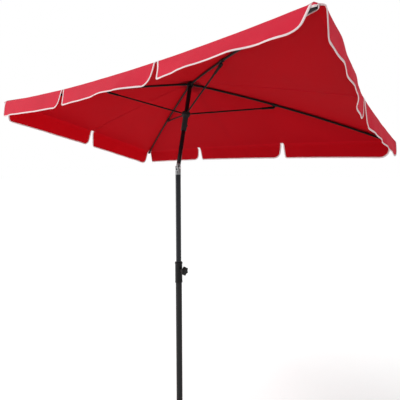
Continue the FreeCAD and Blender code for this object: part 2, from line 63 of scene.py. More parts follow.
# --- The frame ------------------------------------------------------------------
# The canopy has its own frame: its origin is on the mast's axis, level with the
# ribs' pivots, with X along the long side, Y towards the back and Z up the mast.
JOINTS = {joint["name"]: joint for joint in frame["joints"]}
CORNERS = {"front_left": (-1, -1), "front_right": (1, -1), "back_left": (-1, 1), "back_right": (1, 1)}
MAST_UP = -np.array(JOINTS["runner_slide"]["axis"], float)
MAST_SIDE = np.array((1.0, 0.0, 0.0))
MAST_BACK = np.cross(MAST_UP, MAST_SIDE)
HUB = np.mean([JOINTS[f"rib_fold_{corner}"]["pos_m"] for corner in CORNERS], axis=0)
TO_ROW = np.array((MAST_SIDE, MAST_BACK, MAST_UP))


def in_row(points):
    """Points in the canopy's frame, in the row's frame."""
    return np.asarray(points) @ TO_ROW + HUB


def rib_direction(corner):
    """The way a rib points, level with the hub, in the canopy's frame."""
    way = np.array(JOINTS[f"rib_fold_{corner}"]["pos_m"], float) - HUB
    way = TO_ROW @ way
    return way / np.linalg.norm(way)


# --- Settings -------------------------------------------------------------------
def length(name, default, description):
    return bpy.props.FloatProperty(
        name=name, description=description, default=default,
        min=0.0, subtype="DISTANCE", unit="LENGTH", precision=4,
    )


def colour(name, default, description):
    return bpy.props.FloatVectorProperty(
        name=name, description=description, default=default, size=3, min=0.0, max=1.0, subtype="COLOR"
    )


def share(name, default, description):
    return bpy.props.FloatProperty(name=name, description=description, default=default, min=0.0, max=4.0)


def power(name, default, description):
    return bpy.props.FloatProperty(name=name, description=description, default=default, min=0.0)


class CanopySettings(bpy.types.PropertyGroup):
    """The cloth, its skirt and its binding."""

    long_side: length("Long side", 2.0, "Corner to corner along the long side")
    short_side: length("Short side", 1.25, "Corner to corner along the short side")
    corner_drop: length("Corner drop", 0.229, "Corner below the hub's pivots")
    rib_bow: length("Rib bow", 0.020, "Rise of a bent rib above a straight line")
    long_bow: length("Long edge bow", 0.053, "How far a long edge pulls in at its middle")
    short_bow: length("Short edge bow", 0.023, "How far a short edge pulls in at its middle")
    lift: length("Lift", 0.0118, "Cloth above a rib's centre line")
    clamp_height: length("Clamp height", 0.0176, "Cloth above the pivots, where the finial clamps it")
    thickness: length("Thickness", 0.001, "Coated polyester")
    skirt_depth: length("Skirt depth", 0.112, "Skirt below the fold")
    notch_width: length("Notch width", 0.058, "Opening of a notch at the hem")
    round_corner: length("Round corner", 0.040, "Radius of a flap's rounder lower corner")
    tight_corner: length("Tight corner", 0.013, "Radius of a flap's other lower corner")
    binding_width: length("Binding width", 0.0092, "Width of the white edge binding")
    binding_thickness: length("Binding thickness", 0.003, "Thickness of the folded binding")
    allowance: length("Seam allowance", 0.005, "How far one half runs on under its neighbour")
    patch_radius: length("Patch radius", 0.075, "Round patch under the finial")
    outer: colour("Outer cloth", (0.59, 0.019, 0.050), "Upper face of the cloth")
    # The under face gets a darker copy of the cloth's colour: painted shade, for the shadow under the canopy.
    inner: colour("Inner cloth", (0.26, 0.004, 0.011), "Under face of the cloth")
    # The binding is white tape: its pale tone is its own, and the pink tint in it is painted light, the red
    # cloth's glow painted into its colour.
    binding: colour("Binding", (0.88, 0.79, 0.80), "Edge binding")


class FrameSettings(bpy.types.PropertyGroup):
    """The ribs, struts, hub and runner."""

    rib: colour("Ribs", (0.0045, 0.0035, 0.0035), "Bent fibre rods")
    strut: colour("Struts", (0.0035, 0.0030, 0.0032), "Powder-coated struts")
    plastic: colour("Plastic", (0.0065, 0.0065, 0.007), "Moulded hub, runner, collar and knobs")


class PoleSettings(bpy.types.PropertyGroup):
    """The mast, both poles and the tilt joint."""

    mast: colour("Mast", (0.0035, 0.004, 0.0055), "Gloss paint of the leaning mast")
    upper: colour("Upper pole", (0.0030, 0.0045, 0.0085), "Gloss paint of the upper pole")
    lower: colour("Lower pole", (0.013, 0.0135, 0.014), "Matt powder coat of the lower pole")
    alloy: colour("Cast alloy", (0.21, 0.21, 0.215), "Tilt joint")
    zinc: colour("Zinc", (0.62, 0.63, 0.64), "Pins, screws and bolts")


class BaseSettings(bpy.types.PropertyGroup):
    """The weighted base."""

    cover: colour("Cover", (0.020, 0.020, 0.021), "Moulded cover over the ballast")
    ballast: colour("Ballast", (0.30, 0.29, 0.27), "Cast concrete")
    rubber: colour("Mat", (0.014, 0.014, 0.014), "Rubber mat")
    paint: colour("Socket paint", (0.018, 0.018, 0.019), "Powder coat of the socket")


class StageSettings(bpy.types.PropertyGroup):
    """Floor, light and camera."""

    floor: colour("Floor", (0.98, 0.98, 0.98), "Plain pale floor")
    sky: share("Room light", 0.6, "Strength of the white room's light")
    key: share("Key light", 2.2, "Strength of the large soft lamp")
    strip: power("Strip light", 70.0, "Power of the tall softbox")


# --- Shader expressions -----------------------------------------------------------
class Field:
    """A number that varies over a surface: a node's socket with Python's arithmetic."""

    def __init__(self, finish, socket):
        self.finish = finish
        self.socket = socket

    def maths(self, operation, *values):
        slots = dict(enumerate(values))
        return self.finish.field("ShaderNodeMath", {"operation": operation}, slots)

    def __add__(self, other):
        return self.maths("ADD", self, other)

    def __sub__(self, other):
        return self.maths("SUBTRACT", self, other)

    def __rsub__(self, other):
        return self.maths("SUBTRACT", other, self)

    def __mul__(self, other):
        return self.maths("MULTIPLY", self, other)

    __radd__ = __add__
    __rmul__ = __mul__

    def sine(self):
        return self.maths("SINE", self)

    def size(self):
        return self.maths("ABSOLUTE", self)


class Finish:
    """A material made of nodes: one Principled shader and what feeds it."""

    def __init__(self, name, **constants):
        self.material = bpy.data.materials.new(name)
        self.material.use_nodes = True
        self.tree = self.material.node_tree
        self.tree.nodes.clear()
        self.shader = self.node("ShaderNodeBsdfPrincipled")
        for key, value in constants.items():
            self.put(self.shader.inputs[key.replace("_", " ").title().replace("Ior", "IOR")], value)
        self.output = self.node("ShaderNodeOutputMaterial", inputs={"Surface": self.shader.outputs[0]})

    def put(self, socket, value):
        """Set a socket to a number or colour, or link it."""
        if isinstance(value, Field):
            value = value.socket
        if isinstance(value, bpy.types.NodeSocket):
            self.tree.links.new(value, socket)
        elif hasattr(value, "__len__") and socket.type == "RGBA":
            socket.default_value = (*value[:3], 1.0)
        else:
            socket.default_value = value

    def node(self, kind, settings=None, inputs=None):
        """Any node: its type, its settings, and then the values or links of its sockets."""
        made = self.tree.nodes.new(kind)
        for key, value in (settings or {}).items():
            setattr(made, key, value)
        for key, value in (inputs or {}).items():
            self.put(made.inputs[key], value)
        return made

    def field(self, kind, settings=None, inputs=None, output=0):
        return Field(self, self.node(kind, settings, inputs).outputs[output])

    def place(self, stretch=(1.0, 1.0, 1.0), flat=False):
        """Where a point is, in metres, with each axis scaled: on the piece, or on its flat cloth."""
        where = self.node("ShaderNodeTexCoord").outputs["UV" if flat else "Object"]
        inputs = {0: where, 1: stretch}
        return self.node("ShaderNodeVectorMath", {"operation": "MULTIPLY"}, inputs).outputs[0]

    def axes(self):
        """Metres along and across the flat cloth."""
        split = self.node("ShaderNodeSeparateXYZ", inputs={0: self.place(flat=True)})
        return Field(self, split.outputs[0]), Field(self, split.outputs[1])

    def clouds(self, scale, detail=2.0, stretch=(1.0, 1.0, 1.0), flat=False):
        """Soft noise about 0.5, with scale patches to a metre."""
        inputs = {"Vector": self.place(stretch, flat), "Scale": scale, "Detail": detail}
        return self.field("ShaderNodeTexNoise", inputs=inputs)

    def spots(self, scale, stretch=(1.0, 1.0, 1.0)):
        """Cells, as the distance to the nearest centre."""
        inputs = {"Vector": self.place(stretch), "Scale": scale}
        return self.field("ShaderNodeTexVoronoi", inputs=inputs)

    def between(self, value, low, high):
        """0 below low, 1 above high, and smooth between them."""
        settings = {"interpolation_type": "SMOOTHSTEP"}
        return self.field("ShaderNodeMapRange", settings, {"Value": value, "From Min": low, "From Max": high})

    def blend(self, factor, first, second):
        """A colour between two."""
        inputs = {0: factor, 6: first, 7: second}
        return self.node("ShaderNodeMix", {"data_type": "RGBA"}, inputs).outputs[2]

    def colour(self, value):
        self.put(self.shader.inputs["Base Color"], value)

    def roughness(self, value):
        self.put(self.shader.inputs["Roughness"], value)

    def relief(self, height, depth, strength=1.0):
        """A bump of that many metres."""
        inputs = {"Height": height, "Distance": depth, "Strength": strength}
        self.put(self.shader.inputs["Normal"], self.node("ShaderNodeBump", inputs=inputs).outputs[0])

    def glow_through(self, tone, amount):
        """Let some of the light on the other face through."""
        thin = self.node("ShaderNodeBsdfTranslucent", inputs={"Color": tone})
        inputs = {0: amount, 1: self.shader.outputs[0], 2: thin.outputs[0]}
        self.put(self.output.inputs["Surface"], self.node("ShaderNodeMixShader", inputs=inputs).outputs[0])


def tint(tone, factor):
    """A colour, lighter or darker."""
    return tuple(min(1.0, part * factor) for part in tone)


# --- Finishes -------------------------------------------------------------------
def cloth_finish(name, tone, sheen, glow, through):
    """Coated polyester: a fine plain weave, soft colour drift and a low sheen."""
    finish = Finish(name, sheen_weight=sheen, sheen_roughness=0.45, specular_ior_level=0.05)
    finish.put(finish.shader.inputs["Sheen Tint"], (1.0, 0.86, 0.88))
    along, down = finish.axes()
    pitch = math.tau / 0.0011
    weave = (along * pitch).sine() * (down * pitch).sine()
    slub = finish.clouds(220, 3, (1.0, 0.08, 1.0), flat=True)
    drift = finish.clouds(3.2, 3, flat=True)
    shade = drift * 0.7 + slub * 0.3
    finish.colour(finish.blend(finish.between(shade, 0.3, 0.7), tint(tone, 0.93), tint(tone, 1.06)))
    finish.roughness(0.58 + 0.16 * slub + 0.03 * weave)
    crease = finish.clouds(26, 2, (1.0, 0.45, 1.0), flat=True)
    finish.relief(weave * 0.08 + slub * 0.10 + crease * 0.9, 0.0016, 0.55)
    finish.glow_through(through, glow)
    return finish.material


def binding_finish(name, tone):
    """Folded polyester tape with a fine rib and a row of stitches."""
    finish = Finish(name, sheen_weight=0.12, specular_ior_level=0.3)
    along, across = finish.axes()
    rib = (along * (math.tau / 0.0009)).sine()
    stitch = finish.between((along * (math.tau / 0.0034)).sine(), 0.1, 0.5)
    row = 1 - finish.between((across - 0.5).size(), 0.03, 0.06)
    soil = finish.clouds(14, 3)
    dirt = finish.blend(finish.between(soil, 0.35, 0.75), tone, tint(tone, 0.93))
    finish.colour(finish.blend(stitch * row * 0.35, dirt, tint(tone, 0.72)))
    finish.roughness(0.62 + 0.12 * soil)
    finish.relief(rib * 0.2 + stitch * row * 0.8, 0.0004, 0.5)
    finish.glow_through(tint(tone, 1.1), 0.3)
    return finish.material


def moulded_finish(name, tone, low=0.38, grain=900):
    """Injection-moulded plastic with a fine spark-eroded grain."""
    finish = Finish(name, specular_ior_level=0.18)
    spots = finish.spots(grain)
    haze = finish.clouds(38, 4)
    finish.colour(finish.blend(finish.between(haze, 0.35, 0.7), tone, tint(tone, 1.5)))
    finish.roughness(low + 0.16 * haze + 0.08 * spots)
    finish.relief(spots + haze * 0.6, 0.00025, 0.35)
    return finish.material


def rod_finish(name, tone):
    """Pulled glass-fibre rod: streaks that run along it under a satin skin."""
    finish = Finish(name, specular_ior_level=0.10)
    streak = finish.clouds(160, 3, (0.12, 0.12, 1.0))
    finish.colour(finish.blend(finish.between(streak, 0.3, 0.75), tint(tone, 0.8), tint(tone, 1.8)))
    finish.roughness(0.32 + 0.2 * streak)
    finish.relief(streak, 0.0002, 0.4)
    return finish.material


def gloss_finish(name, tone):
    """Sprayed gloss enamel with a slight orange peel."""
    finish = Finish(name, specular_ior_level=0.3)
    peel = finish.clouds(420, 2, (1.0, 1.0, 0.6))
    rub = finish.clouds(30, 4, (1.0, 1.0, 0.12))
    finish.colour(finish.blend(finish.between(rub, 0.4, 0.75), tone, tint(tone, 1.5)))
    finish.roughness(0.13 + 0.08 * rub)
    finish.relief(peel, 0.00008, 0.2)
    return finish.material


def powder_finish(name, tone, low=0.50, shine=0.22):
    """Matt powder coat: a fine leathery texture, with faint rubbing along the tube."""
    finish = Finish(name, specular_ior_level=shine)
    grit = finish.spots(1500)
    peel = finish.clouds(650, 3)
    rub = finish.clouds(24, 4, (1.0, 1.0, 0.15))
    finish.colour(finish.blend(finish.between(rub, 0.42, 0.8), tone, tint(tone, 1.35)))
    finish.roughness(low + 0.12 * peel + 0.08 * rub)
    finish.relief(peel + grit * 0.5, 0.0002, 0.4)
    return finish.material


def alloy_finish(name, tone, low=0.24, cast=260):
    """Die-cast or plated metal: shallow casting texture and fine handling marks."""
    finish = Finish(name, metallic=1.0)
    skin = finish.clouds(cast, 4)
    marks = finish.clouds(90, 5, (1.0, 1.0, 0.1))
    finish.colour(finish.blend(finish.between(skin, 0.3, 0.75), tint(tone, 0.78), tint(tone, 1.08)))
    finish.roughness(low + 0.18 * marks + 0.06 * skin)
    finish.relief(skin + marks * 0.4, 0.0002, 0.35)
    return finish.material


def concrete_finish(name, tone):
    """Cast concrete: sand, air holes with painted shade in them, and damp patches."""
    finish = Finish(name, specular_ior_level=0.25)
    sand = finish.clouds(700, 5)
    holes = finish.between(finish.spots(60), 0.04, 0.12)
    patch = finish.clouds(9, 4)
    shade = patch * 0.6 + sand * 0.4
    ground = finish.blend(finish.between(shade, 0.35, 0.65), tint(tone, 0.78), tint(tone, 1.15))
    # The air holes are painted darker: painted shade inside the holes.
    finish.colour(finish.blend(holes, tint(tone, 0.4), ground))
    finish.roughness(0.82 + 0.12 * sand)
    finish.relief(sand * 0.5 + holes, 0.0012, 0.6)
    return finish.material


def rubber_finish(name, tone):
    """Black rubber with a dusty bloom."""
    finish = Finish(name, specular_ior_level=0.3)
    bloom = finish.clouds(45, 4)
    finish.colour(finish.blend(finish.between(bloom, 0.4, 0.75), tone, tint(tone, 2.4)))
    finish.roughness(0.72 + 0.16 * bloom)
    finish.relief(finish.spots(500), 0.0003, 0.3)
    return finish.material


def dress(material, *names):
    """Give CAD nodes a material in place of their plain one."""
    for name in names:
        slots = frame["nodes"][name].data.materials
        slots.clear()
        slots.append(material)


def every(pattern):
    """The nodes of that name at all four corners."""
    return [pattern.format(corner) for corner in CORNERS]


WELD_GAP = 0.00001
SHARP_EDGE = math.radians(40)


def soften(width, *names):
    """Break a CAD node's sharp edges with a small round, so that they catch the light."""
    for name in names:
        piece = frame["nodes"][name]
        weld = piece.modifiers.new("weld", "WELD")
        weld.merge_threshold = WELD_GAP
        bevel = piece.modifiers.new("edges", "BEVEL")
        bevel.width = width
        bevel.segments = 2
        bevel.limit_method = "ANGLE"
        bevel.angle_limit = SHARP_EDGE
        bevel.harden_normals = True


# --- Canopy shape ---------------------------------------------------------------
# A side runs from t = -1 to t = 1. s is 0 at the hub and 1 at the fold.
SIDES = {
    "front": {"out": (0, -1), "along": (1, 0), "corners": ("front_left", "front_right")},
    "right": {"out": (1, 0), "along": (0, 1), "corners": ("front_right", "back_right")},
    "back": {"out": (0, 1), "along": (1, 0), "corners": ("back_left", "back_right")},
    "left": {"out": (-1, 0), "along": (0, 1), "corners": ("front_left", "back_left")},
}
# How the skirt hangs at places along each side: degrees out from plumb at the hem.
HANG = {
    "front": ((-1, 15), (-0.8, 19.5), (-0.41, 18), (-0.25, 24), (0, 32), (0.15, 35), (0.31, 22), (0.38, 24),
              (0.46, 32), (0.53, 38), (0.88, 37), (1, 30)),
    "right": ((-1, 6), (-0.7, 3), (-0.5, 12), (-0.2, 1), (0, 2), (0.2, 6), (0.6, 10), (1, 4)),
    "back": ((-1, 3), (-0.3, 6), (0.2, 2), (0.7, 6), (1, 3)),
    "left": ((-1, 8), (0, 12), (1, 11)),
}
# Where the cloth runs on past the edge before it turns down, in metres.
SHOULDER = {
    "front": ((-1, 0.008), (1, 0.008)),
    "right": ((-1, 0.026), (-0.75, 0.033), (-0.6, 0.029), (-0.4, 0.027), (-0.2, 0.016), (-0.1, 0.010),
              (0.1, 0.010), (0.4, 0.014), (1, 0.018)),
    "back": ((-1, 0.012), (1, 0.012)),
    "left": ((-1, 0.012), (1, 0.012)),
}
# The cloth is cut slightly deeper or shallower on each side.
DEPTH = {"front": 1.0, "right": 1.0, "back": 0.91, "left": 1.13}
# Waves of the hem: length along the side, height at the hem, and where they start.
WAVES = {
    "front": ((0.31, 0.0012, 0.4), (0.147, 0.0010, 1.9)),
    "right": ((0.23, 0.0022, 2.1), (0.117, 0.0020, 0.3)),
    "back": ((0.37, 0.0022, 1.2), (0.163, 0.0012, 2.6)),
    "left": ((0.29, 0.0030, 0.9), (0.141, 0.0018, 2.2)),
}
NOTCHES = {"long": (0, 0.36, 1), "short": (0, 1)}
# How far a flap's ends swing along the side for each metre down: the end at -t, then the end at +t.
SWAY = {"front": (0.30, 0.14)}
# Half of the length over which the cloth turns down at the fold.
HALF_TURN = {"front": 0.012, "right": 0.012, "back": 0.018, "left": 0.018}
COLUMNS = {"long": (18, 34), "short": (34,)}
SKIRT_ROWS = (0, 0.02, 0.045, 0.075, 0.11, 0.16, 0.24, 0.34,
              0.45, 0.56, 0.66, 0.75, 0.83, 0.9, 0.95, 0.985, 1)
SKIRT_STEPS = 28
PANEL_ROWS = 40
INNERMOST = 0.010
JUST_INSIDE = 0.985
# Distances from the mast's axis: where the clamp lets go of the cloth, and where it lies on the ribs.
CLAMPED, ON_RIBS = 0.017, 0.075
# How much of the ribs' bow the middle of a side has.
MIDDLE_BOW = 0.35
# A flap's end, in notch widths: how far it is in just below the fold, and how much further at the hem.
NOTCH_CROWN, NOTCH_SLANT = 0.09, 0.27
CROWN_DEPTH = 0.004
# The cloth's unevenness: how close the waves are, and their height.
RIPPLES = ((5.1, 0.0010), (13.7, 0.0005))
# The skirt's soft upright folds: how close they are, and how they are drawn out downwards.
DRAPE_PITCH = 11.0
DRAPE_STRETCH = np.array((1.0, 1.0, 0.35))
DRAPE_HEIGHT, DRAPE_START = 0.0060, 0.06
# How many thicknesses the seam allowance lies under its neighbour.
TUCK = 1.4
# The place on a half's free seam, from the hub out, where follow_fold measures the rib's radius and drop.
EXACT_PLACE = 0.7
# What the notches and round corners leave of the skirt's area.
SKIRT_LEFT = 0.93


def is_long(side):
    return side in ("front", "back")


def along_side(table, t):
    """A value from a table of places along a side."""
    places, values = zip(*table)
    return np.interp(t, places, values)


def smooth(value, low, high):
    """0 below low, 1 above high, and smooth between them."""
    step = np.clip((value - low) / (high - low), 0, 1)
    return step * step * (3 - 2 * step)


def half_side(side, settings):
    """Half of a side's length."""
    return (settings.long_side if is_long(side) else settings.short_side) / 2


def half_across(side, settings):
    """From the hub out to the ends of a side's fold, square to the side."""
    return (settings.short_side if is_long(side) else settings.long_side) / 2


def panel_points(side, t, s, settings):
    """Points of the top, in the canopy's frame."""
    out, along = np.array(SIDES[side]["out"], float), np.array(SIDES[side]["along"], float)
    reach = half_across(side, settings)
    bow = settings.long_bow if is_long(side) else settings.short_bow
    edge = (reach - bow * (1 - t**2))[..., None] * out + (half_side(side, settings) * t)[..., None] * along
    flat = edge * s[..., None]
    radius = np.linalg.norm(flat, axis=-1)
    stiff = MIDDLE_BOW + (1 - MIDDLE_BOW) * t**2
    height = -settings.corner_drop * s + 4 * settings.rib_bow * s * (1 - s) * stiff + settings.lift
    held = smooth(radius, CLAMPED, ON_RIBS)
    height = settings.clamp_height * (1 - held) + height * held
    return np.concatenate([flat, height[..., None]], axis=-1)


def skirt_points(side, t, depth, settings):
    """Points of the skirt, in the row's frame, at a depth below the fold."""
    fold = in_row(panel_points(side, t, np.ones_like(t), settings))
    inside = in_row(panel_points(side, t, np.full_like(t, JUST_INSIDE), settings))
    out = np.array((*SIDES[side]["out"], 0.0))
    slope = fold - inside
    start = np.arctan2(slope @ out, -slope[..., 2])
    hang = np.radians(along_side(HANG[side], t))
    turn = along_side(SHOULDER[side], t)
    half_turn = HALF_TURN[side]
    depth = depth * DEPTH[side]
    reach, fall = np.zeros_like(t), np.zeros_like(t)
    for number in range(SKIRT_STEPS):
        down = depth * (number + 0.5) / SKIRT_STEPS
        angle = start + (hang - start) * smooth(down, turn - half_turn, turn + half_turn)
        reach += np.sin(angle) * depth / SKIRT_STEPS
        fall += np.cos(angle) * depth / SKIRT_STEPS
    travel = t * half_side(side, settings)
    for pitch, height, phase in WAVES[side]:
        reach += height * np.sin(math.tau * travel / pitch + phase) * (depth / settings.skirt_depth) ** 1.4
    return fold + reach[..., None] * out + fall[..., None] * np.array((0.0, 0.0, -1.0))


def corner_cut(depth, radius, settings):
    """How far a flap's end has come in at a depth, because of its notch and its round corner."""
    into = np.maximum(depth - (settings.skirt_depth - radius), 0)
    crown = settings.notch_width * NOTCH_CROWN * smooth(depth, 0, CROWN_DEPTH)
    slant = settings.notch_width * NOTCH_SLANT * (depth / settings.skirt_depth) ** 1.2
    return crown + slant + radius - np.sqrt(radius**2 - into**2)


def lean(side, t):
    """How far a flap's two ends swing along the side, for each metre down, where the skirt is cut at t."""
    return SWAY.get(side, (0.0, 0.0)) if abs(t) < 1 else (0.0, 0.0)


def quads(rows):
    """Faces between rows of vertices."""
    return [(above[k], below[k], below[k + 1], above[k + 1])
            for above, below in zip(rows, rows[1:]) for k in range(len(above) - 1)]


def rows_of(deep, wide):
    """The numbers of a grid's vertices, row by row."""
    return [[row * wide + column for column in range(wide)] for row in range(deep)]


def half_panel(side, way, settings):
    """One side's half: its vertices, faces, flat coordinates and flap outlines."""
    kind = "long" if is_long(side) else "short"
    stretches = list(zip(NOTCHES[kind], NOTCHES[kind][1:], COLUMNS[kind]))
    places = [np.linspace(low, high, count + 1)[1:] for low, high, count in stretches]
    t = np.concatenate([[0.0], *places]) * way
    s = INNERMOST + (1 - INNERMOST) * (np.arange(PANEL_ROWS + 1) / PANEL_ROWS) ** 1.3
    wide, deep = len(t), len(s)
    grid_s, grid_t = np.meshgrid(s, t, indexing="ij")
    points = [in_row(panel_points(side, grid_t, grid_s, settings)).reshape(-1, 3)]
    span, reach = half_side(side, settings), half_across(side, settings)
    flat = [np.stack([grid_t * span, grid_s * reach], axis=-1).reshape(-1, 2)]
    rows = rows_of(deep, wide)
    faces, outlines = quads(rows), []
    total, first = wide * deep, 0
    for low, high, count in stretches:
        middle = is_long(side) and low == 0
        start, end = (-high if middle else low), high
        if way < 0:
            start, end = -end, -start
        run = np.linspace(0.5 if middle else 0.0, 1.0, count + 1)
        run = run if way > 0 else 1 - run
        lines = [rows[-1][first:first + count + 1]]
        for level in SKIRT_ROWS[1:]:
            depth = level * settings.skirt_depth
            tight = corner_cut(depth, settings.tight_corner, settings)
            rounder = corner_cut(depth, settings.round_corner, settings)
            left = start + (tight + depth * lean(side, start)[0]) / span
            right = end - (rounder - depth * lean(side, end)[1]) / span
            line_t = left + (right - left) * run
            points.append(skirt_points(side, line_t, np.full_like(line_t, depth), settings))
            flat.append(np.stack([line_t * span, np.full_like(line_t, reach + depth)], axis=-1))
            lines.append(list(range(total, total + count + 1)))
            total += count + 1
        faces += quads(lines)
        outline = lines[-1] + [line[-1] for line in lines[-2::-1]]
        if not middle:
            outline = [line[0] for line in lines[:-1]] + outline
        outlines.append(outline)
        first += count
    flipped = way * (1 if side in ("front", "right") else -1) < 0
    if flipped:
        faces = [face[::-1] for face in faces]
    return {
        "side": side,
        "way": way,
        "wide": wide,
        "top_faces": (deep - 1) * (wide - 1),
        "flipped": flipped,
        "corner": SIDES[side]["corners"][way > 0],
        "middle": panel_points(side, np.array([0.0]), np.array([EXACT_PLACE]), settings)[0],
        "points": np.concatenate(points),
        "flat": np.concatenate(flat),
        "faces": faces,
        "outlines": outlines,
    }


def canopy_halves(settings):
    """All eight halves, with normals that agree where they meet."""
    halves = [half_panel(side, way, settings) for side in SIDES for way in (-1, 1)]
    points = np.concatenate([half["points"] for half in halves])
    firsts = np.cumsum([0] + [len(half["points"]) for half in halves])
    faces = np.concatenate([np.array(half["faces"]) + first for half, first in zip(halves, firsts)])
    across = points[faces[:, 2]] - points[faces[:, 0]]
    square = np.cross(across, points[faces[:, 3]] - points[faces[:, 1]])
    _, same = np.unique(np.round(points, 6), axis=0, return_inverse=True)
    same = same.reshape(-1)
    normals = np.zeros((same.max() + 1, 3))
    for column in range(4):
        np.add.at(normals, same[faces[:, column]], square)
    normals /= np.maximum(np.linalg.norm(normals, axis=1), 1e-12)[:, None]
    folds = [half["flat"][half["wide"] * PANEL_ROWS, 1] for half in halves]
    depth = np.concatenate([half["flat"][:, 1] - fold for half, fold in zip(halves, folds)])
    skirt = smooth(depth, 0.0, DRAPE_START)
    ripple = np.array([
        sum(noise.noise(Vector(p) * pitch) * height for pitch, height in RIPPLES) for p in points
    ])
    drape = np.array([noise.noise(Vector(p) * DRAPE_PITCH) for p in points * DRAPE_STRETCH])
    points = points + normals[same] * (ripple + drape * skirt * DRAPE_HEIGHT)[:, None]
    for half, first, last in zip(halves, firsts, firsts[1:]):
        half["points"] = points[first:last]
        half["normals"] = normals[same[first:last]]
        if half["way"] > 0:
            seam_allowance(half, settings)
    return halves


def seam_allowance(half, settings):
    """Run the half on under its neighbour, so that no slit opens between them as the ribs fold."""
    wide, count = half["wide"], len(half["points"])
    edge = np.arange(PANEL_ROWS + 1) * wide
    aside = -half["way"] * (in_row((*SIDES[half["side"]]["along"], 0.0)) - HUB)
    under = half["normals"][edge] * settings.thickness * TUCK
    tucked = half["points"][edge] + aside * settings.allowance - under
    faces = [(count + k, count + k + 1, edge[k + 1], edge[k]) for k in range(PANEL_ROWS)]
    if half["flipped"]:
        faces = [face[::-1] for face in faces]
    half["faces"] = [tuple(int(k) for k in face) for face in faces] + half["faces"]
    half["top_faces"] += len(faces)
    half["points"] = np.concatenate([half["points"], tucked])
    half["normals"] = np.concatenate([half["normals"], half["normals"][edge]])
    half["flat"] = np.concatenate([half["flat"], half["flat"][edge] - (half["way"] * settings.allowance, 0)])


def mesh_piece(name, points, faces, materials, flat=None, kinds=None, normals=None):
    """A mesh object with smooth faces."""
    mesh = bpy.data.meshes.new(name)
    mesh.from_pydata([tuple(p) for p in points], [], [tuple(int(k) for k in face) for face in faces])
    for material in materials:
        mesh.materials.append(material)
    mesh.polygons.foreach_set("use_smooth", [True] * len(mesh.polygons))
    if kinds is not None:
        mesh.polygons.foreach_set("material_index", kinds)
    if flat is not None:
        corners = np.zeros(len(mesh.loops), dtype=np.int32)
        mesh.loops.foreach_get("vertex_index", corners)
        mesh.uv_layers.new(name="flat").data.foreach_set("uv", np.asarray(flat, np.float32)[corners].ravel())
    if normals is not None:
        mesh.normals_split_custom_set([tuple(n) for n in normals])
    mesh.update()
    piece = bpy.data.objects.new(name, mesh)
    bpy.context.scene.collection.objects.link(piece)
    return piece


def layer_of(points, normals, flat, faces):
    """A surface that is a grid, as shell takes it."""
    grid = {"points": points, "normals": normals, "flat": flat}
    return {"faces": faces, **{key: part.reshape(-1, part.shape[-1]) for key, part in grid.items()}}


def shell(name, half, thickness, materials):
    """A closed thin sheet about a surface: upper face, under face and rim."""
    points, normals, faces = half["points"], half["normals"], half["faces"]
    count = len(points)
    edges = dict.fromkeys(edge for face in faces for edge in zip(face, face[1:] + face[:1]))
    rim = [(end, start, start + count, end + count) for start, end in edges if (end, start) not in edges]
    under = [tuple(k + count for k in face[::-1]) for face in faces]
    both = np.concatenate([points + normals * thickness / 2, points - normals * thickness / 2])
    corners = [normals[k] for face in faces for k in face]
    corners += [-normals[k - count] for face in under for k in face]
    for face in rim:
        square = np.cross(both[face[2]] - both[face[0]], both[face[3]] - both[face[1]])
        corners += [square / max(np.linalg.norm(square), 1e-12)] * 4
    top = half.get("top_faces", len(faces))
    # Under faces past the top faces, the skirt's, take the third material; the canopy gives them the
    # painted-light copy.
    kinds = [0] * len(faces) + [1 if number < top else 2 for number in range(len(under))] + [0] * len(rim)
    flat = np.concatenate([half["flat"], half["flat"]])
    return mesh_piece(name, both, faces + under + rim, materials, flat, kinds, corners)


def tube(points, across, up, half_width, half_height, first=0, corners=8):
    """Vertices, faces and flat coordinates of an oval tube along a line, with closed ends."""
    points = np.asarray(points)
    turns = np.arange(corners) * math.tau / corners
    ring = np.cos(turns)[None, :, None] * across[:, None, :] * half_width
    ring = ring + np.sin(turns)[None, :, None] * up[:, None, :] * half_height
    made = (points[:, None, :] + ring).reshape(-1, 3)
    travel = np.concatenate([[0], np.cumsum(np.linalg.norm(np.diff(points, axis=0), axis=1))])
    around = np.tile(np.abs(np.cos(turns / 2)), len(points))
    flat = np.stack([np.repeat(travel, corners), around], axis=-1)
    faces = []
    for number in range(len(points) - 1):
        here = first + number * corners
        for k in range(corners):
            after = (k + 1) % corners
            faces.append((here + k, here + after, here + corners + after, here + corners + k))
    last = first + (len(points) - 1) * corners
    faces.append(tuple(first + k for k in reversed(range(corners))))
    faces.append(tuple(last + k for k in range(corners)))
    return made, faces, flat


def unit(vectors):
    return vectors / np.maximum(np.linalg.norm(vectors, axis=-1), 1e-12)[..., None]


def follow_fold(piece, half):
    """Let a piece of a half-panel turn with its rib, on a mesh of its own."""
    corner = half["corner"]
    fold = math.radians(max(JOINTS[f"rib_fold_{corner}"]["range_deg"]))
    toward = rib_direction(corner)
    middle = half["middle"]
    radius, drop = middle[:2] @ toward[:2], middle[2]
    keep = math.cos(fold) + drop / radius * math.sin(fold)
    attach(piece, f"rib_{corner}")
    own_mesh(piece)


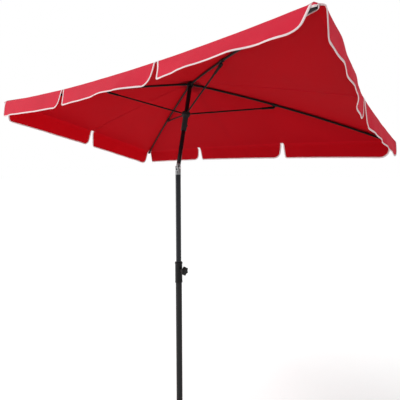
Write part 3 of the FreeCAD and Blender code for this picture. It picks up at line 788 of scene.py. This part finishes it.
# --- Operators ------------------------------------------------------------------
class UMBRELLA_OT_canopy(bpy.types.Operator):
    """Make the cloth: eight half-panels that meet without a break, each with its skirt flaps"""

    bl_idname = "umbrella.canopy"
    bl_label = "Canopy cloth"

    def execute(self, context):
        settings = context.scene.umbrella_canopy
        outer = cloth_finish("canopy_outer", tuple(settings.outer), 0.07, 0.30, (0.95, 0.02, 0.05))
        # The under face's material is the darker copy of the cloth: painted shade.
        inner = cloth_finish("canopy_inner_painted_shade", tuple(settings.inner), 0.0, 0.46, (0.92, 0.010, 0.038))
        # The skirt's under face is a lighter copy of the under face's colour: painted light, brightening the
        # skirt flaps.
        skirt = cloth_finish("skirt_inner_painted_light", tint(settings.inner, 1.22), 0.0, 0.50, (0.94, 0.015, 0.050))
        for half in canopy_halves(settings):
            side, corner = half["side"], half["corner"]
            piece = shell(f"cloth_{corner}_{side}", half, settings.thickness, [outer, inner, skirt])
            span = half_side(side, settings)
            slope = math.hypot(half_across(side, settings), settings.corner_drop)
            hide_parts(f"canopy_{corner}")
            follow_fold(piece, half)
            span * (slope / 2 + SKIRT_LEFT * settings.skirt_depth)
        return {"FINISHED"}


# How far in from the edge the binding's middle lies, in binding widths.
BINDING_INSET = 0.35


class UMBRELLA_OT_binding(bpy.types.Operator):
    """Bind every flap's free edge with a white tape"""

    bl_idname = "umbrella.binding"
    bl_label = "Edge binding"

    def execute(self, context):
        settings = context.scene.umbrella_canopy
        tape = binding_finish("edge_binding", tuple(settings.binding))
        for half in canopy_halves(settings):
            points, faces, flat = [], [], []
            for outline in half["outlines"]:
                line, normals = half["points"][outline], half["normals"][outline]
                run = unit(np.gradient(line, axis=0))
                inward = unit(np.cross(normals, run))
                centre = line[len(line) // 2]
                if (line.mean(axis=0) - centre) @ inward[len(line) // 2] < 0:
                    inward = -inward
                middle = line + inward * settings.binding_width * BINDING_INSET
                made = tube(middle, inward, np.cross(run, inward), settings.binding_width / 2,
                            settings.binding_thickness / 2, first=sum(len(part) for part in points))
                points.append(made[0])
                faces += made[1]
                flat.append(made[2])
            name = f"binding_{half['corner']}_{half['side']}"
            piece = mesh_piece(name, np.concatenate(points), faces, [tape], np.concatenate(flat))
            follow_fold(piece, half)
        return {"FINISHED"}


PATCH_START = 0.0165
PATCH_LINES = 9
PATCH_LIFT, PATCH_THICKNESS = 0.0013, 0.0012
SEAM_START = 4
SEAM_HALF_WIDTH, SEAM_HALF_HEIGHT = 0.0055, 0.0007
# A pocket is a hood about the rib's tip: places along the rib, from the tip out, and turns about it.
POCKET_RADIUS, POCKET_END, POCKET_THICKNESS = 0.0105, 0.016, 0.001
POCKET_PLACES = np.array((-0.050, -0.036, -0.022, -0.008, 0.002, 0.007, 0.011, 0.014, 0.0155))
POCKET_TURNS = np.radians(np.linspace(-105, 105, 15))
POCKET_FLARE = (0.0012, 0.0005)
POCKET_BINDING = (0.0030, 0.0012)


class UMBRELLA_OT_reinforcements(bpy.types.Operator):
    """Add the patch at the hub, the felled seams over the ribs and the pockets over the rib tips"""

    bl_idname = "umbrella.reinforcements"
    bl_label = "Patch, seams and pockets"

    def execute(self, context):
        settings = context.scene.umbrella_canopy
        tone = tuple(settings.outer)
        cloth = cloth_finish("patch_cloth", tint(tone, 0.9), 0.10, 0.05, tone)
        tape = binding_finish("pocket_tape", tuple(settings.binding))
        for half in canopy_halves(settings):
            self.patch(half, cloth, settings)
            if is_long(half["side"]):
                self.seam(half, cloth)
                self.pocket(half["corner"], cloth, tape, settings)
        return {"FINISHED"}

    def patch(self, half, cloth, settings):
        """A wedge of the round patch, lying on the cloth."""
        side = half["side"]
        t = np.linspace(0, 1, PATCH_LINES) * half["way"]
        radii = np.linspace(PATCH_START, settings.patch_radius, PATCH_LINES)
        rim = np.linalg.norm(panel_points(side, t, np.ones_like(t), settings)[:, :2], axis=1)
        grid_r, grid_t = np.meshgrid(radii, t, indexing="ij")
        grid_s = grid_r / rim[None, :]
        made = panel_points(side, grid_t, grid_s, settings)
        points = in_row(made)
        normals = unit(np.cross(np.gradient(points, axis=0), np.gradient(points, axis=1)))
        normals *= np.sign(normals @ MAST_UP)[..., None]
        faces = quads(rows_of(PATCH_LINES, PATCH_LINES))
        if half["flipped"]:
            faces = [face[::-1] for face in faces]
        layer = layer_of(points + normals * PATCH_LIFT, normals, made[..., :2], faces)
        piece = shell(f"hub_patch_{half['corner']}_{side}", layer, PATCH_THICKNESS, [cloth, cloth])
        follow_fold(piece, half)

    def seam(self, half, finish):
        """A flat felled seam along the rib, on the upper face."""
        wide = sum(COLUMNS["long"]) + 1
        line = [row * wide + wide - 1 for row in range(SEAM_START, PANEL_ROWS + 1)]
        points, normals = half["points"][line], half["normals"][line]
        run = unit(np.gradient(points, axis=0))
        across = unit(np.cross(run, normals))
        points = points + normals * SEAM_HALF_HEIGHT
        made, faces, flat = tube(points, across, normals, SEAM_HALF_WIDTH, SEAM_HALF_HEIGHT)
        piece = mesh_piece(f"seam_{half['corner']}", made, faces, [finish], flat)
        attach(piece, f"rib_{half['corner']}")

    def pocket(self, corner, cloth, tape, settings):
        """A hood of cloth over the rib's tip, open below, with a bound edge."""
        shares = np.array([0.93, 1.0])
        ways = np.array([float(CORNERS[corner][0])] * 2)
        side = "front" if CORNERS[corner][1] < 0 else "back"
        near, tip = in_row(panel_points(side, ways, shares, settings))
        along = unit(tip - near)
        across = unit(np.cross(along, MAST_UP))
        up = np.cross(across, along)
        heart = tip - up * settings.lift
        stations, turns = POCKET_PLACES, POCKET_TURNS
        rounding = 1 - (np.maximum(stations, 0) / POCKET_END) ** 2
        taper = np.sqrt(np.clip(rounding, 0.0004, 1)) * POCKET_RADIUS
        taper[:2] += POCKET_FLARE
        ring = np.sin(turns)[:, None] * across + np.cos(turns)[:, None] * up
        points = heart + stations[:, None, None] * along + taper[:, None, None] * ring[None]
        lean_out = np.clip(stations / POCKET_END, 0, 1)[:, None, None] ** 3 * 1.5
        normals = unit(ring[None] + lean_out * along)
        rows = rows_of(len(stations), len(turns))
        faces = [(above[k], above[k + 1], below[k + 1], below[k])
                 for above, below in zip(rows, rows[1:]) for k in range(len(turns) - 1)]
        flat = np.stack(np.meshgrid(stations, turns * POCKET_RADIUS, indexing="ij"), axis=-1)
        layer = layer_of(points, normals, flat, faces)
        piece = shell(f"corner_pocket_{corner}", layer, POCKET_THICKNESS, [cloth, cloth])
        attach(piece, f"rib_{corner}")
        edge = np.concatenate([points[:, 0], points[-1, 1:-1:3], points[::-1, -1]])
        run = unit(np.gradient(edge, axis=0))
        outwards = unit(edge - heart - ((edge - heart) @ along)[:, None] * along)
        outwards = unit(np.cross(run, np.cross(outwards, run)))
        made, faces, flat = tube(edge, unit(np.cross(run, outwards)), outwards, *POCKET_BINDING)
        bound = mesh_piece(f"pocket_binding_{corner}", made, faces, [tape], flat)
        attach(bound, f"rib_{corner}")


class UMBRELLA_OT_frame(bpy.types.Operator):
    """Finish the hub, ribs, struts and runner"""

    bl_idname = "umbrella.frame"
    bl_label = "Ribs, struts, hub and runner"

    def execute(self, context):
        settings = context.scene.umbrella_frame
        dress(rod_finish("rib_rod", tuple(settings.rib)), *every("rib_{}"))
        dress(powder_finish("strut_coat", tuple(settings.strut), 0.4, 0.08), *every("strut_{}"))
        plastic = moulded_finish("frame_plastic", tuple(settings.plastic))
        dress(plastic, "canopy_hub", "finial", "runner", *every("rib_bracket_{}"), *every("rib_tip_{}"))
        dress(moulded_finish("button_plastic", tint(settings.plastic, 1.6), 0.28), "runner_button")
        pins = alloy_finish("frame_pins", tuple(context.scene.umbrella_poles.zinc))
        dress(pins, *every("hub_pin_{}"), *every("runner_pin_{}"))
        soften(0.0008, "canopy_hub", "finial", "runner")
        return {"FINISHED"}


BUTTON_BLACK = (0.02, 0.02, 0.02)
BUSH_GREY = (0.45, 0.45, 0.43)


class UMBRELLA_OT_mast(bpy.types.Operator):
    """Finish the leaning mast and the tilt joint"""

    bl_idname = "umbrella.mast"
    bl_label = "Mast and tilt joint"

    def execute(self, context):
        settings = context.scene.umbrella_poles
        dress(gloss_finish("mast_paint", tuple(settings.mast)), "mast_tube")
        dress(alloy_finish("cast_alloy", tuple(settings.alloy)), "tilt_fork", "mast_ferrule")
        dress(alloy_finish("tilt_pin_zinc", tuple(settings.zinc), 0.2, 500), "tilt_pin")
        dress(moulded_finish("tilt_button_plastic", BUTTON_BLACK, 0.3), "tilt_button")
        soften(0.0012, "tilt_fork", "mast_ferrule", "tilt_pin")
        return {"FINISHED"}


class UMBRELLA_OT_poles(bpy.types.Operator):
    """Finish both poles, the collar and its knob"""

    bl_idname = "umbrella.poles"
    bl_label = "Poles and collar"

    def execute(self, context):
        settings = context.scene.umbrella_poles
        plastic = tuple(context.scene.umbrella_frame.plastic)
        dress(gloss_finish("upper_paint", tuple(settings.upper)), "upper_pole")
        dress(powder_finish("lower_paint", tuple(settings.lower)), "lower_pole")
        dress(moulded_finish("collar_plastic", plastic), "height_collar", "height_clamp_knob")
        dress(moulded_finish("bush_plastic", BUSH_GREY, 0.4), "glide_bush", "pole_plug")
        dress(alloy_finish("clamp_zinc", tuple(settings.zinc), 0.2, 500), "height_clamp_screw", "collar_nut")
        soften(0.0010, "height_collar", "height_clamp_knob")
        return {"FINISHED"}


class UMBRELLA_OT_base(bpy.types.Operator):
    """Finish the weighted base and its socket"""

    bl_idname = "umbrella.base"
    bl_label = "Base and socket"

    def execute(self, context):
        settings = context.scene.umbrella_base
        plastic = tuple(context.scene.umbrella_frame.plastic)
        zinc = tuple(context.scene.umbrella_poles.zinc)
        dress(moulded_finish("cover_plastic", tuple(settings.cover), 0.42, 700), "base_shell")
        dress(concrete_finish("ballast_concrete", tuple(settings.ballast)), "base_ballast")
        dress(rubber_finish("mat_rubber", tuple(settings.rubber)), "base_mat")
        socket = powder_finish("socket_paint", tuple(settings.paint))
        dress(socket, "base_flange", "base_tube", "base_clamp_boss")
        dress(moulded_finish("socket_plastic", plastic), "base_sleeve", "base_clamp_knob")
        bolts = [f"flange_bolt_{number}" for number in range(1, 5)]
        dress(alloy_finish("base_zinc", zinc, 0.2, 500), "base_clamp_screw", *bolts)
        soften(0.0010, "base_shell", "base_flange", "base_sleeve", "base_clamp_knob", *bolts)
        return {"FINISHED"}


FLOOR_RADIUS, FLOOR_CORNERS, FLOOR_HEIGHT = 60, 96, -0.0005
KEY_PLACE, KEY_SPREAD = (-4.2, -2.6, 4.4), 34
STRIP_PLACE, STRIP_SIZE = (-3.4, -2.95, 1.8), (2.0, 3.6)
CAMERA_PLACE = (1.334, -1.427, 1.779)
CAMERA_DIP, CAMERA_TURN = 0.098, 0.685
SENSOR, LENS = 36, 29.37


class UMBRELLA_OT_stage(bpy.types.Operator):
    """Add the floor, the soft light and the camera"""

    bl_idname = "umbrella.stage"
    bl_label = "Floor, light and camera"

    def execute(self, context):
        settings = context.scene.umbrella_stage
        finish = Finish("stage_floor", specular_ior_level=0.1)
        grain = finish.clouds(3, 2)
        finish.colour(finish.blend(grain, tuple(settings.floor), tint(settings.floor, 1.02)))
        finish.roughness(0.9 + 0.05 * grain)
        turns = np.arange(FLOOR_CORNERS) * math.tau / FLOOR_CORNERS
        height = np.full(FLOOR_CORNERS, FLOOR_HEIGHT)
        rim = np.stack([np.cos(turns) * FLOOR_RADIUS, np.sin(turns) * FLOOR_RADIUS, height], axis=-1)
        floor = mesh_piece("stage_floor", rim, [tuple(range(FLOOR_CORNERS))], [finish.material])

        self.room(settings.sky)
        self.lamp("key", KEY_PLACE, KEY_SPREAD, settings.key)
        self.strip(settings.strip)

        view = bpy.data.cameras.new("camera")
        view.sensor_width = SENSOR
        view.lens = LENS
        camera = bpy.data.objects.new("camera", view)
        camera.location = CAMERA_PLACE
        camera.rotation_euler = (math.pi / 2 - CAMERA_DIP, 0, CAMERA_TURN)
        context.scene.collection.objects.link(camera)
        context.scene.camera = camera
        context.scene.view_settings.view_transform = "Standard"
        return {"FINISHED"}

    def room(self, strength):
        """A white room: seen at full white, and lighting the umbrella more gently."""
        world = bpy.data.worlds.new("white_room")
        world.use_nodes = True
        nodes, links = world.node_tree.nodes, world.node_tree.links
        nodes.clear()
        seen, lit = nodes.new("ShaderNodeBackground"), nodes.new("ShaderNodeBackground")
        seen.inputs["Color"].default_value = lit.inputs["Color"].default_value = (1.0, 1.0, 1.0, 1.0)
        lit.inputs["Strength"].default_value = strength
        either = nodes.new("ShaderNodeMixShader")
        links.new(nodes.new("ShaderNodeLightPath").outputs["Is Camera Ray"], either.inputs[0])
        links.new(lit.outputs[0], either.inputs[1])
        links.new(seen.outputs[0], either.inputs[2])
        links.new(either.outputs[0], nodes.new("ShaderNodeOutputWorld").inputs["Surface"])
        bpy.context.scene.world = world

    def strip(self, power):
        """A tall softbox on the left, which draws one bright band down the poles."""
        light = bpy.data.lights.new("strip", "AREA")
        light.shape = "RECTANGLE"
        light.size, light.size_y = STRIP_SIZE
        light.energy = power
        lamp = bpy.data.objects.new("strip", light)
        lamp.location = STRIP_PLACE
        lamp.rotation_euler = (math.pi / 2, 0, math.atan2(lamp.location.y, lamp.location.x) + math.pi / 2)
        lamp.visible_camera = False
        bpy.context.scene.collection.objects.link(lamp)

    def lamp(self, name, place, spread, power):
        """A soft lamp far away, in that direction, as wide as that many degrees."""
        light = bpy.data.lights.new(name, "SUN")
        light.angle = math.radians(spread)
        light.energy = power
        lamp = bpy.data.objects.new(name, light)
        lamp.location = place
        lamp.rotation_euler = (-Vector(place)).to_track_quat("-Z", "Y").to_euler()
        bpy.context.scene.collection.objects.link(lamp)


OPERATORS = (
    UMBRELLA_OT_canopy,
    UMBRELLA_OT_binding,
    UMBRELLA_OT_reinforcements,
    UMBRELLA_OT_frame,
    UMBRELLA_OT_mast,
    UMBRELLA_OT_poles,
    UMBRELLA_OT_base,
    UMBRELLA_OT_stage,
)
SETTINGS = {
    "umbrella_canopy": CanopySettings,
    "umbrella_frame": FrameSettings,
    "umbrella_poles": PoleSettings,
    "umbrella_base": BaseSettings,
    "umbrella_stage": StageSettings,
}


class UMBRELLA_PT_panel(bpy.types.Panel):
    """The umbrella's sizes, colours and steps"""

    bl_idname = "UMBRELLA_PT_panel"
    bl_label = "Patio umbrella"
    bl_space_type = "VIEW_3D"
    bl_region_type = "UI"
    bl_category = "Umbrella"

    def draw(self, context):
        layout = self.layout
        for name, group in SETTINGS.items():
            box = layout.box()
            box.label(text=name.removeprefix("umbrella_").capitalize())
            for prop in group.__annotations__:
                box.prop(getattr(context.scene, name), prop)
        for operator in OPERATORS:
            layout.operator(operator.bl_idname)


def register():
    for group in (*SETTINGS.values(), *OPERATORS, UMBRELLA_PT_panel):
        bpy.utils.register_class(group)
    for name, group in SETTINGS.items():
        setattr(bpy.types.Scene, name, bpy.props.PointerProperty(type=group))


def unregister():
    for name in SETTINGS:
        delattr(bpy.types.Scene, name)
    for group in (UMBRELLA_PT_panel, *OPERATORS, *SETTINGS.values()):
        bpy.utils.unregister_class(group)


def main():
    register()
    bpy.ops.umbrella.canopy()
    bpy.ops.umbrella.binding()
    bpy.ops.umbrella.reinforcements()
    bpy.ops.umbrella.frame()
    bpy.ops.umbrella.mast()
    bpy.ops.umbrella.poles()
    bpy.ops.umbrella.base()
    bpy.ops.umbrella.stage()


if __name__ == "__main__":
    main()
